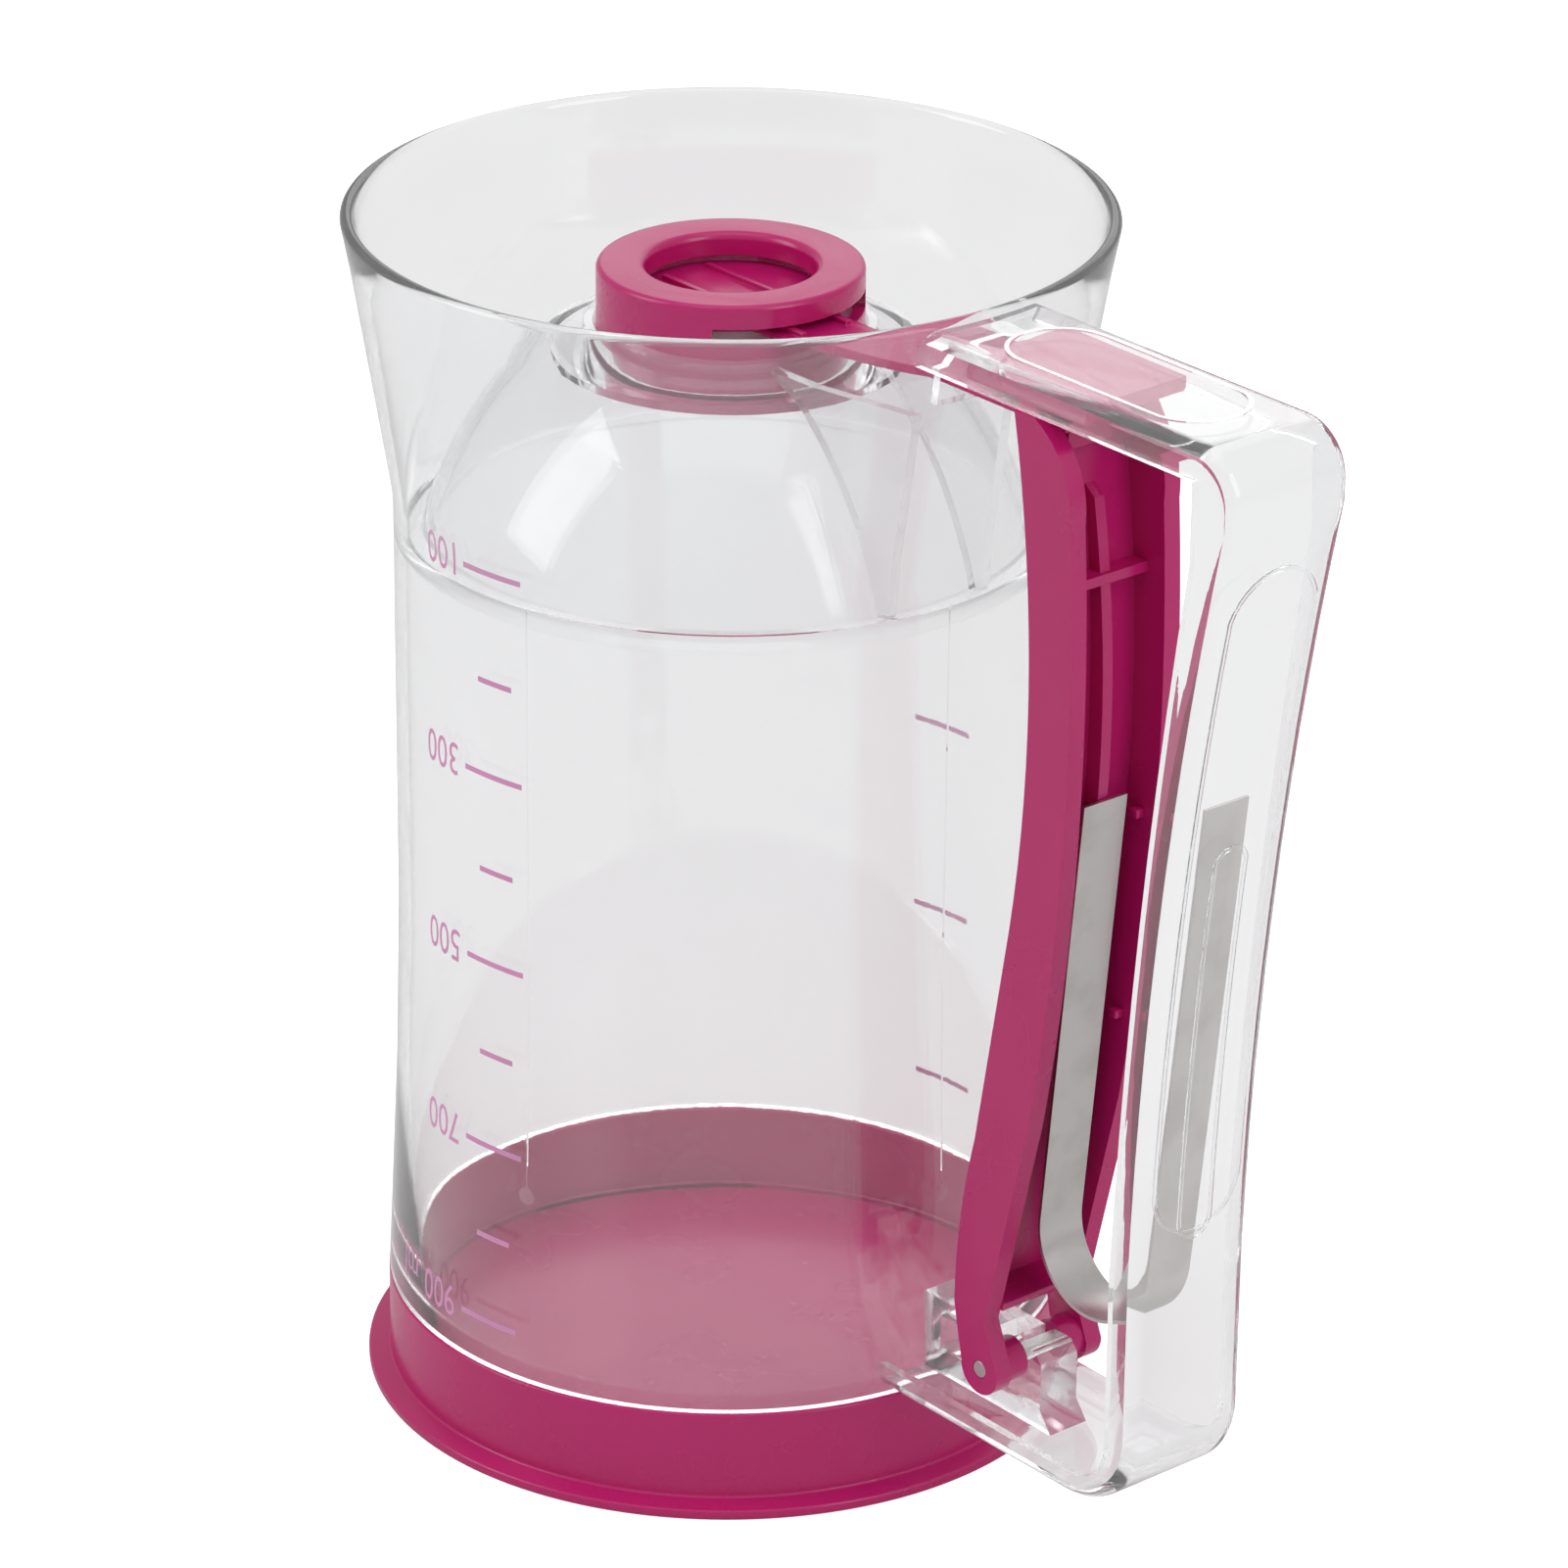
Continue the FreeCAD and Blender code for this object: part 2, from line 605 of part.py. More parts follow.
def make_lever():
    lever = body("trigger_lever")
    side = [("pin_reach - lug_radius", "pin_height")] + lever_line("") + [
        ("shoulder_reach", "lever_shoulder"),
        ("through", "crown_reach", "crown_height"),
        ("flank_top_reach", "flank_top_height"),
        ("through", "flank_mid_reach", "flank_mid_height"),
        ("flank_bend_reach", "flank_bend_height"),
        ("flank_low_reach", "flank_low_height"),
        ("pin_reach + lug_radius", "pin_height"),
        ("through", "pin_reach", "pin_height - lug_radius"),
    ]
    pad(lever, "Flanks", outline(lever, "SideOutline", "XZ_Plane", side), "lever_width", symmetric=True)
    # The channel opens towards the grip and the gap below it clears the bracket
    channel = lever_line(" + lever_web") + [
        (CHANNEL_MOUTH, "lever_shoulder"),
        (CHANNEL_MOUTH, "web_low_height"),
    ]
    hollow = outline(lever, "ChannelOutline", "XZ_Plane", channel)
    pocket(lever, "Channel", hollow, "lever_width - 2 * lever_flank", symmetric=True)
    foot = rectangle(lever, "FootOutline", "XZ_Plane", ("pin_reach - lug_radius - 4", "pin_height - lug_radius - 1"),
                     (CHANNEL_MOUTH, "web_low_height"))
    pocket(lever, "FootGap", foot, "lever_width - 2 * lever_flank", symmetric=True)
    # Head that slides along the roof of the upper arm, on two posts beside the window
    neck = rectangle(lever, "NeckOutline", "XZ_Plane", ("web_top_reach", "lever_shoulder - 1"),
                     ("web_top_reach + lever_web + 1.2", "head_low + 0.5"))
    pad(lever, "Neck", neck, "head_width", symmetric=True)
    head = rectangle(lever, "HeadOutline", "XZ_Plane", ("head_from", "head_low"), ("head_to", "head_top"))
    pad(lever, "Head", head, "head_width", symmetric=True)
    window = rectangle(lever, "WindowOutline", "YZ_Plane", ("-(head_width / 2 - neck_post)", "window_sill"),
                       ("head_width / 2 - neck_post", "head_low"), "pin_reach")
    pocket(lever, "TailWindow", window, "head_to - head_from", reverse=True)
    # Ribs inside the channel
    rib = [
        ("web_top_reach + 1", "rib_high"),
        ("web_mid_reach + 0.6", "web_mid_height"),
        ("web_mid_reach + 0.6", "rib_low"),
        ("flank_mid_reach - rib_setback", "rib_low"),
        ("through", "flank_mid_reach - rib_setback + 0.4", "web_mid_height"),
        ("crown_reach - rib_setback", "rib_high - 4"),
    ]
    centre = outline(lever, "CentreRibOutline", "XZ_Plane", rib)
    pad(lever, "CentreRib", centre, "rib_wall", symmetric=True)
    cross = rectangle(lever, "CrossRibOutline", "XZ_Plane",
                      ("web_mid_reach + 0.6", "cross_rib_height - cross_rib_wall / 2"),
                      ("flank_mid_reach - rib_setback", "cross_rib_height + cross_rib_wall / 2"))
    pad(lever, "CrossRib", cross, "lever_width - 2 * lever_flank + 0.2", symmetric=True)
    # Bosses close the gap between the flanks and the bracket
    for side_sign, name in (("", "Far"), ("-", "Near")):
        lift = "%s(bracket_width / 2 + boss_fit)" % side_sign
        disc = circles(lever, name + "BossOutline", ["boss_radius"], lift, ("pin_reach", "pin_height"), "XZ_Plane")
        boss = "lever_width / 2 - lever_flank / 2 - bracket_width / 2 - boss_fit"
        pad(lever, name + "Boss", disc, boss, reverse=(side_sign == "-"))
    hole = circles(lever, "HoleOutline", ["pin_radius + pin_fit"], "0", ("pin_reach", "pin_height"), "XZ_Plane")
    pocket(lever, "PinHole", hole, "lever_width + 1", symmetric=True)
    return lever


def make_pin():
    pin = doc.addObject("Part::Cylinder", "hinge_pin")
    pin.Label = "hinge_pin"
    bind(pin, "Radius", "pin_radius")
    bind(pin, "Height", "pin_length")
    pin.Placement = FreeCAD.Placement(Vector(0, 0, 0), FreeCAD.Rotation(Vector(1, 0, 0), -90))
    bind(pin, "Placement.Base.x", "pin_reach")
    bind(pin, "Placement.Base.y", "-pin_length / 2")
    bind(pin, "Placement.Base.z", "pin_height")
    return pin


def tangent_leg(tip, centre, radius, side):
    """Where the straight from a tip touches the bend, on the side given by a sign."""
    reach = centre - tip
    distance = reach.Length
    turn = math.asin(radius / distance)
    length = math.sqrt(distance ** 2 - radius ** 2)
    heading = math.atan2(reach.z, reach.x) + side * turn
    return Vector(tip.x + length * math.cos(heading), 0, tip.z + length * math.sin(heading))


def make_spring():
    """The bent leaf: two straight legs and a loop of two bends, one width all along."""
    thick = size("leaf_thick")
    width = size("leaf_width")
    lowest = Vector(size("leaf_low_reach"), 0, size("leaf_low_height"))
    small = size("leaf_lever_bend")
    large = size("leaf_grip_bend")
    small_centre = lowest + Vector(0, 0, small)
    large_centre = lowest + Vector(0, 0, large)
    lever_tip = Vector(size("flank_mid_reach - rib_setback + leaf_rib_gap"), 0, size("leaf_tip_height"))
    grip_tip = Vector(grip_floor(size("leaf_grip_height")), 0, size("leaf_grip_height"))
    lever_foot = tangent_leg(lever_tip, small_centre, small, -1)
    grip_foot = tangent_leg(grip_tip, large_centre, large, 1)
    small_mid = small_centre + (lever_foot + lowest - small_centre * 2).normalize() * small
    large_mid = large_centre + (grip_foot + lowest - large_centre * 2).normalize() * large
    path = Part.Wire([
        Part.LineSegment(lever_tip, lever_foot).toShape(),
        Part.Arc(lever_foot, small_mid, lowest).toShape(),
        Part.Arc(lowest, large_mid, grip_foot).toShape(),
        Part.LineSegment(grip_foot, grip_tip).toShape(),
    ])
    strip = path.makeOffset2D(thick, 0, True, True, False)
    leaf = doc.addObject("Part::Feature", "leaf_spring")
    leaf.Label = "leaf_spring"
    face = strip if strip.ShapeType == "Face" else strip.Faces[0]
    leaf.Shape = face.extrude(Vector(0, width, 0))
    leaf.Placement = FreeCAD.Placement(Vector(0, -width / 2, 0), FreeCAD.Rotation())
    return leaf


def grip_floor(height):
    """How far out the floor of the grip's channel lies at a height, less the leaf and its gap."""
    top = Vector(size("grip_top_reach"), size(GRIP_TOP), 0)
    middle = Vector(size("grip_mid_reach"), size("grip_mid_height"), 0)
    low = Vector(size("grip_low_reach"), size("grip_low_height"), 0)
    curve = Part.Arc(top, middle, low).toShape().Curve
    rise = height - curve.Center.y
    reach = curve.Center.x - math.sqrt(curve.Radius ** 2 - rise ** 2)
    return reach - size("handle_floor + leaf_thick + leaf_grip_gap")


PARTS = [
    make_jug(),
    make_handle(),
    make_lid(),
    make_cap(),
    make_seal(),
    make_shutter(),
    make_lever(),
    make_pin(),
    make_spring(),
]
doc.recompute()

for item in doc.Objects:
    if "Invalid" in item.State or "Error" in item.State:
        sys.exit("%s did not build: %s" % (item.Name, item.State))
for part in PARTS:
    if part.Shape.isNull() or not part.Shape.isValid():
        sys.exit("%s has no valid shape" % part.Label)
    if len(part.Shape.Solids) != 1:
        sys.exit("%s is %d solids" % (part.Label, len(part.Shape.Solids)))

os.makedirs("parts", exist_ok=True)
for part in PARTS:
    part.Shape.exportStep("parts/%s.step" % part.Label)
    print("%-16s %9.1f mm3" % (part.Label, part.Shape.Volume))
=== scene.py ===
import math

import bmesh
import bpy
from mathutils import Matrix, Vector


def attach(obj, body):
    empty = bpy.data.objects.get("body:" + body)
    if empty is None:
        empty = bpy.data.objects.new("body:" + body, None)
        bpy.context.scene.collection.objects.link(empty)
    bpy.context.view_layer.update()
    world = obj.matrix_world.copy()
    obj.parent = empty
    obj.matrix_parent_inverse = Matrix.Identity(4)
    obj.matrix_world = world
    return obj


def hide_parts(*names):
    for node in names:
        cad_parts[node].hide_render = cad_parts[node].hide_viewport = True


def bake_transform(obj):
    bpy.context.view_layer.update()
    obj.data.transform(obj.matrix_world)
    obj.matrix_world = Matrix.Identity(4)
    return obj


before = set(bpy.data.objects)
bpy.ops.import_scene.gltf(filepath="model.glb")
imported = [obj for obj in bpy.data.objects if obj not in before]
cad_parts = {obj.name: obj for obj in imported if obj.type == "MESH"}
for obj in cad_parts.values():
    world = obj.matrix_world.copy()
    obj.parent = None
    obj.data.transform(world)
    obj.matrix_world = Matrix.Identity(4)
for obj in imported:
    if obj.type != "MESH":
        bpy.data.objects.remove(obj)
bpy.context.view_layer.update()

MM = 0.001

# Jug, in millimetres from the axis and from the face that it stands on
WALL = 2.0
MOUTH = 49.7
LID_FLOOR = 2.6
LEDGE = 16.0
BASE = 51.0
FLARE = (49.5, 50.0)
BODY = 48.9
BODY_FROM = 80.0
SKIRT_FOOT = 141.3
RIM = (55.9, 184.0)
DOME_FOOT = (44.5, 137.0)
DOME_CROWN = (27.0, 164.0)
DOME_BULGE = 2.5
COLLAR = 21.4
COLLAR_WALL = 1.8
COLLAR_TOP = 167.0
NECK_FLOOR = 162.0
NECK = 14.0
BORE = 7.0
NECK_TOP = 167.8
GUSSET_GAP = 7.6
GUSSET_WALL = 1.6
GUSSET_TOP = 169.4
SLOT_LOW = 171.0
SLOT_HIGH = 176.8
STEPS = 192
SLOT_STEPS = 4
SMOOTH_ANGLE = 35

# Lid: the foot it stands on, its wall and the fit on the jug
LID_FOOT = 54.4
LID_FOOT_TOP = 1.5
LID_WALL_FOOT = 2.1
LID_WALL = 1.4
LID_TOP = 15.7
LID_FIT = 0.1
LID_ROUND = 0.45

# Printed scale: volume in millilitres and height of each mark, then the lines' start and length
MARKS = [(100, 141.5), (200, 124.9), (300, 110.4), (400, 95.4), (500, 80.8),
         (600, 66.3), (700, 51.5), (800, 37.0), (900, 23.3)]
LONG_LINE = (0.4, 11.4)
SHORT_LINE = (3.4, 6.6)
LINE_WIDTH = 0.85
PRINT_PROUD = 0.02
FIGURE_SIZE = 7.2
FIGURE_NARROW = 0.82
FIGURE_LIFT = 2.6
FIGURE_END = -1.4
UNIT_END = -12.5

# The scale with figures is on one side and the plain lines, by height, are on the other
NEAR_SIDE = -90.0
FAR_SIDE = 90.0
FAR_MARKS = [88.8, 57.3, 27.7]

# Lines left by the jug's mould, by azimuth, and the height of the round marks at their feet
PARTING_LINES = [("parting_line_side", -75.0), ("parting_line_handle", 0.0)]
EJECTOR_HEIGHT = 46.0
EJECTOR_RADIUS = 1.4
EJECTOR_BORDER = 0.35
PARTING_WIDTH = 0.36
PARTING_PROUD = 0.06

# Outer face of the grip, as reach and height at its two ends and middle, and the top of the arm
GRIP_FACE = [(116.4, 172.0), (107.2, 118.0), (102.6, 56.0)]
ARM_TOP = 183.0

# Beads on the handle: width, thickness and how far they are sunk, then each loop's length,
# width and middle
BEAD_WIDE = 0.6
BEAD_THICK = 0.28
BEAD_SUNK = 0.08
GRIP_BEAD = (62, 6.5, 91)
GRIP_BORDER = (104, 16.5, 113)
ARM_BORDER = (42, 16.0, 84)


def arc(centre, radius, start, end, steps=8):
    """Points on an arc, angles in degrees."""
    points = []
    for step in range(steps + 1):
        angle = math.radians(start + (end - start) * step / steps)
        points.append((centre[0] + radius * math.cos(angle), centre[1] + radius * math.sin(angle)))
    return points


def softened(corners, radius, steps=4):
    """A closed outline with each corner cut to a small round."""
    points = []
    count = len(corners)
    for number in range(count):
        before = Vector(corners[number - 1])
        here = Vector(corners[number])
        after = Vector(corners[(number + 1) % count])
        to_before = before - here
        to_after = after - here
        turn = to_before.angle(to_after, math.pi)
        reach = min(radius / math.tan(turn / 2), to_before.length * 0.45, to_after.length * 0.45)
        if turn > math.radians(150) or here.x < 0.01:
            points.append((here.x, here.y))
            continue
        first = here + to_before.normalized() * reach
        last = here + to_after.normalized() * reach
        for step in range(steps + 1):
            share = step / steps
            point = first * (1 - share) ** 2 + here * 2 * share * (1 - share) + last * share ** 2
            points.append((point.x, point.y))
    return points


def bowed(start, end, bulge, steps=14):
    """Points from start to end on a bow that stands out by a bulge."""
    start = Vector(start)
    end = Vector(end)
    across = (end - start).normalized()
    out = Vector((across.y, -across.x))
    points = []
    for step in range(1, steps):
        share = step / steps
        point = start.lerp(end, share) + out * bulge * 4 * share * (1 - share)
        points.append((point.x, point.y))
    return points


def lathe(name, profile):
    """Turn a closed outline of radius and height once round the axis."""
    mesh = bpy.data.meshes.new(name)
    made = bmesh.new()
    ring = [made.verts.new((radius * MM, 0, height * MM)) for radius, height in profile]
    edges = [made.edges.new((ring[number - 1], ring[number])) for number in range(len(ring))]
    bmesh.ops.spin(made, geom=ring + edges, cent=(0, 0, 0), axis=(0, 0, 1), dvec=(0, 0, 0),
                   angle=2 * math.pi, steps=STEPS, use_merge=True, use_duplicate=False)
    bmesh.ops.remove_doubles(made, verts=made.verts, dist=1e-6)
    bmesh.ops.recalc_face_normals(made, faces=made.faces)
    made.to_mesh(mesh)
    made.free()
    return finished(name, mesh)


def finished(name, mesh):
    """Put a mesh in the scene, shaded smooth apart from its sharp edges."""
    piece = bpy.data.objects.new(name, mesh)
    bpy.context.scene.collection.objects.link(piece)
    mesh.shade_smooth()
    mesh.set_sharp_from_angle(angle=math.radians(SMOOTH_ANGLE))
    return piece


def copy_of(node, name, bevel):
    """A piece with the shape of a CAD node, its flat faces whole again and its edges softened."""
    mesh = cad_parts[node].data.copy()
    mesh.name = name
    mesh.materials.clear()
    made = bmesh.new()
    made.from_mesh(mesh)
    bmesh.ops.remove_doubles(made, verts=made.verts, dist=2e-6)
    bmesh.ops.dissolve_limit(made, angle_limit=math.radians(0.6), verts=made.verts, edges=made.edges)
    bmesh.ops.recalc_face_normals(made, faces=made.faces)
    made.to_mesh(mesh)
    made.free()
    piece = finished(name, mesh)
    if bevel:
        edge = piece.modifiers.new("soft_edges", "BEVEL")
        edge.width = bevel * MM
        edge.segments = 3
        edge.limit_method = "ANGLE"
        edge.angle_limit = math.radians(40)
        edge.harden_normals = False
        edge.use_clamp_overlap = True
    return piece


# Materials
def nodes_of(name):
    material = bpy.data.materials.new(name)
    material.use_nodes = True
    tree = material.node_tree
    shader = tree.nodes["Principled BSDF"]
    return material, tree, shader


def add(tree, kind, **values):
    node = tree.nodes.new(kind)
    for key, value in values.items():
        setattr(node, key, value)
    return node


def moulded_surface():
    """Group: faint mottling, fine grain and rubbed spots of a moulded surface."""
    group = bpy.data.node_groups.new("moulded_surface", "ShaderNodeTree")
    face = group.interface
    face.new_socket("Colour", in_out="INPUT", socket_type="NodeSocketColor")
    face.new_socket("Colour change", in_out="INPUT", socket_type="NodeSocketFloat")
    face.new_socket("Grain per metre", in_out="INPUT", socket_type="NodeSocketFloat")
    face.new_socket("Smoothest", in_out="INPUT", socket_type="NodeSocketFloat")
    face.new_socket("Roughest", in_out="INPUT", socket_type="NodeSocketFloat")
    face.new_socket("Bump", in_out="INPUT", socket_type="NodeSocketFloat")
    face.new_socket("Colour", in_out="OUTPUT", socket_type="NodeSocketColor")
    face.new_socket("Roughness", in_out="OUTPUT", socket_type="NodeSocketFloat")
    face.new_socket("Normal", in_out="OUTPUT", socket_type="NodeSocketVector")
    link = group.links.new
    inside = add(group, "NodeGroupInput")
    outside = add(group, "NodeGroupOutput")
    place = add(group, "ShaderNodeTexCoord")
    mottle = add(group, "ShaderNodeTexNoise")
    mottle.inputs["Scale"].default_value = 60
    mottle.inputs["Detail"].default_value = 4
    grain = add(group, "ShaderNodeTexNoise")
    grain.inputs["Detail"].default_value = 3
    link(place.outputs["Object"], mottle.inputs["Vector"])
    link(place.outputs["Object"], grain.inputs["Vector"])
    link(inside.outputs["Grain per metre"], grain.inputs["Scale"])
    spread = add(group, "ShaderNodeMapRange")
    spread.inputs["From Min"].default_value = 0.3
    spread.inputs["From Max"].default_value = 0.7
    link(mottle.outputs["Fac"], spread.inputs["Value"])
    darker = add(group, "ShaderNodeMath", operation="MULTIPLY")
    link(spread.outputs["Result"], darker.inputs[0])
    link(inside.outputs["Colour change"], darker.inputs[1])
    shade = add(group, "ShaderNodeMix", data_type="RGBA", blend_type="MULTIPLY")
    shade.inputs["B"].default_value = (0.6, 0.6, 0.6, 1)
    link(darker.outputs[0], shade.inputs["Factor"])
    link(inside.outputs["Colour"], shade.inputs["A"])
    link(shade.outputs["Result"], outside.inputs["Colour"])
    rough = add(group, "ShaderNodeMapRange")
    rough.inputs["From Min"].default_value = 0.3
    rough.inputs["From Max"].default_value = 0.7
    link(mottle.outputs["Fac"], rough.inputs["Value"])
    link(inside.outputs["Smoothest"], rough.inputs["To Min"])
    link(inside.outputs["Roughest"], rough.inputs["To Max"])
    link(rough.outputs["Result"], outside.inputs["Roughness"])
    bump = add(group, "ShaderNodeBump")
    bump.inputs["Distance"].default_value = 0.0002
    link(inside.outputs["Bump"], bump.inputs["Strength"])
    link(grain.outputs["Fac"], bump.inputs["Height"])
    link(bump.outputs["Normal"], outside.inputs["Normal"])
    return group


SURFACE = moulded_surface()


def finish_with(tree, shader, colour, change, grain, smooth, rough, bump):
    """Join the surface group to a shader."""
    surface = add(tree, "ShaderNodeGroup", node_tree=SURFACE)
    surface.inputs["Colour"].default_value = colour
    surface.inputs["Colour change"].default_value = change
    surface.inputs["Grain per metre"].default_value = grain
    surface.inputs["Smoothest"].default_value = smooth
    surface.inputs["Roughest"].default_value = rough
    surface.inputs["Bump"].default_value = bump
    tree.links.new(surface.outputs["Colour"], shader.inputs["Base Color"])
    tree.links.new(surface.outputs["Roughness"], shader.inputs["Roughness"])
    tree.links.new(surface.outputs["Normal"], shader.inputs["Normal"])


def lets_light_in(tree, shader):
    """Light passes the thin clear wall to what stands behind it."""
    path = add(tree, "ShaderNodeLightPath")
    either = add(tree, "ShaderNodeMath", operation="MAXIMUM")
    tree.links.new(path.outputs["Is Shadow Ray"], either.inputs[0])
    tree.links.new(path.outputs["Is Diffuse Ray"], either.inputs[1])
    passed = add(tree, "ShaderNodeBsdfTransparent")
    passed.inputs["Color"].default_value = (0.965, 0.97, 0.97, 1)
    both = add(tree, "ShaderNodeMixShader")
    tree.links.new(either.outputs[0], both.inputs["Fac"])
    tree.links.new(shader.outputs[0], both.inputs[1])
    tree.links.new(passed.outputs[0], both.inputs[2])
    tree.links.new(both.outputs[0], tree.nodes["Material Output"].inputs["Surface"])


def clear_plastic():
    material, tree, shader = nodes_of("clear_plastic")
    finish_with(tree, shader, (0.96, 0.963, 0.966, 1), 0.02, 900, 0.015, 0.05, 0.03)
    shader.inputs["Transmission Weight"].default_value = 0.96
    # The walls are thin, so they bend the view little, and the polish gives the reflections
    shader.inputs["IOR"].default_value = 1.16
    shader.inputs["Coat Weight"].default_value = 0.7
    shader.inputs["Coat IOR"].default_value = 1.5
    shader.inputs["Coat Roughness"].default_value = 0.03
    lets_light_in(tree, shader)
    return material


def plum_plastic():
    material, tree, shader = nodes_of("plum_plastic")
    finish_with(tree, shader, (0.49, 0.008, 0.135, 1), 0.1, 2600, 0.2, 0.3, 0.06)
    return material


def silicone():
    material, tree, shader = nodes_of("seal_silicone")
    finish_with(tree, shader, (0.78, 0.77, 0.75, 1), 0.1, 3000, 0.45, 0.6, 0.1)
    return material


def spring_steel():
    """Rolled strip: fine lines along the leaf and a few faint stains."""
    material, tree, shader = nodes_of("spring_steel")
    place = add(tree, "ShaderNodeTexCoord")
    stretch = add(tree, "ShaderNodeMapping")
    stretch.inputs["Scale"].default_value = (400, 9000, 300)
    lines = add(tree, "ShaderNodeTexNoise")
    lines.inputs["Scale"].default_value = 1.0
    lines.inputs["Detail"].default_value = 3
    tree.links.new(place.outputs["Object"], stretch.inputs["Vector"])
    tree.links.new(stretch.outputs["Vector"], lines.inputs["Vector"])
    stain = add(tree, "ShaderNodeTexNoise")
    stain.inputs["Scale"].default_value = 110
    stain.inputs["Detail"].default_value = 4
    tree.links.new(place.outputs["Object"], stain.inputs["Vector"])
    tint = add(tree, "ShaderNodeValToRGB")
    tint.color_ramp.elements[0].position = 0.28
    tint.color_ramp.elements[0].color = (0.50, 0.475, 0.455, 1)
    tint.color_ramp.elements[1].position = 0.5
    tint.color_ramp.elements[1].color = (0.60, 0.575, 0.56, 1)
    tree.links.new(stain.outputs["Fac"], tint.inputs["Fac"])
    tree.links.new(tint.outputs["Color"], shader.inputs["Base Color"])
    rough = add(tree, "ShaderNodeMapRange")
    rough.inputs["To Min"].default_value = 0.22
    rough.inputs["To Max"].default_value = 0.42
    tree.links.new(lines.outputs["Fac"], rough.inputs["Value"])
    tree.links.new(rough.outputs["Result"], shader.inputs["Roughness"])
    bump = add(tree, "ShaderNodeBump")
    bump.inputs["Strength"].default_value = 0.08
    bump.inputs["Distance"].default_value = 0.0001
    tree.links.new(lines.outputs["Fac"], bump.inputs["Height"])
    tree.links.new(bump.outputs["Normal"], shader.inputs["Normal"])
    shader.inputs["Metallic"].default_value = 1.0
    return material


def scale_print():
    material, tree, shader = nodes_of("scale_print")
    finish_with(tree, shader, (0.72, 0.30, 0.53, 1), 0.25, 4000, 0.35, 0.55, 0.08)
    return material


CLEAR = clear_plastic()
PLUM = plum_plastic()
SILICONE = silicone()
STEEL = spring_steel()
PRINT = scale_print()


def dress(piece, material, body):
    """Give a piece its material and the body that it moves with."""
    piece.data.materials.clear()
    piece.data.materials.append(material)
    if body:
        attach(piece, body)
    return piece


# Jug wall, dome, collar and neck in one moulding
def dome_line(inset):
    """The dome's outline from foot to crown, moved inwards by an inset."""
    foot = (DOME_FOOT[0] - inset, DOME_FOOT[1] - inset * 0.3)
    crown = (DOME_CROWN[0] - inset * 0.6, DOME_CROWN[1] - inset)
    return [foot] + bowed(foot, crown, DOME_BULGE) + [crown]


def jug_outline():
    rim_round = arc((RIM[0] - WALL / 2, RIM[1] - WALL / 2), WALL / 2, 0, 180, 8)
    outer = [
        (MOUTH - WALL, LID_FLOOR),
        (MOUTH, LID_FLOOR),
        (MOUTH, LEDGE),
        (BASE, LEDGE),
        (BASE, LEDGE + 0.4),
        FLARE,
        (BODY + 0.1, BODY_FROM - 8),
        (BODY, BODY_FROM),
        (BODY, SKIRT_FOOT - 1.5),
        (BODY + 0.08, SKIRT_FOOT),
        (BODY + 0.3, SKIRT_FOOT + 1.8),
    ]
    skirt = [
        (RIM[0] - WALL + 0.32 - 0.55, SLOT_HIGH),
        (RIM[0] - WALL + 0.32 - 1.5, SLOT_LOW),
        (BODY - WALL, SKIRT_FOOT),
        (BODY - WALL, DOME_FOOT[1] + 0.4),
        (BODY - WALL - 0.5, DOME_FOOT[1]),
    ]
    neck = [
        (COLLAR + 1.2, DOME_CROWN[1] + 0.4),
        (COLLAR, DOME_CROWN[1] + 1.4),
        (COLLAR, COLLAR_TOP - 0.3),
        (COLLAR - 0.3, COLLAR_TOP),
        (COLLAR - COLLAR_WALL + 0.3, COLLAR_TOP),
        (COLLAR - COLLAR_WALL, COLLAR_TOP - 0.3),
        (COLLAR - COLLAR_WALL, NECK_FLOOR),
        (NECK, NECK_FLOOR),
        (NECK, NECK_TOP),
        (BORE, NECK_TOP),
        (BORE, NECK_FLOOR - WALL),
    ]
    under = list(reversed(dome_line(WALL)))
    inner = [
        (BODY - WALL - 0.6, DOME_FOOT[1] - WALL - 0.1),
        (BODY - WALL, DOME_FOOT[1] - WALL - 0.7),
        (BODY - WALL, BODY_FROM),
        (FLARE[0] - WALL, FLARE[1]),
        (BASE - WALL, LEDGE + 4),
        (MOUTH - WALL, LEDGE),
    ]
    return outer, skirt, neck, under, inner, rim_round


def skirt_radius(height):
    """The outside radius of the flared skirt at a height."""
    share = (height - SKIRT_FOOT) / (RIM[1] - SKIRT_FOOT)
    return BODY + (RIM[0] - BODY) * share


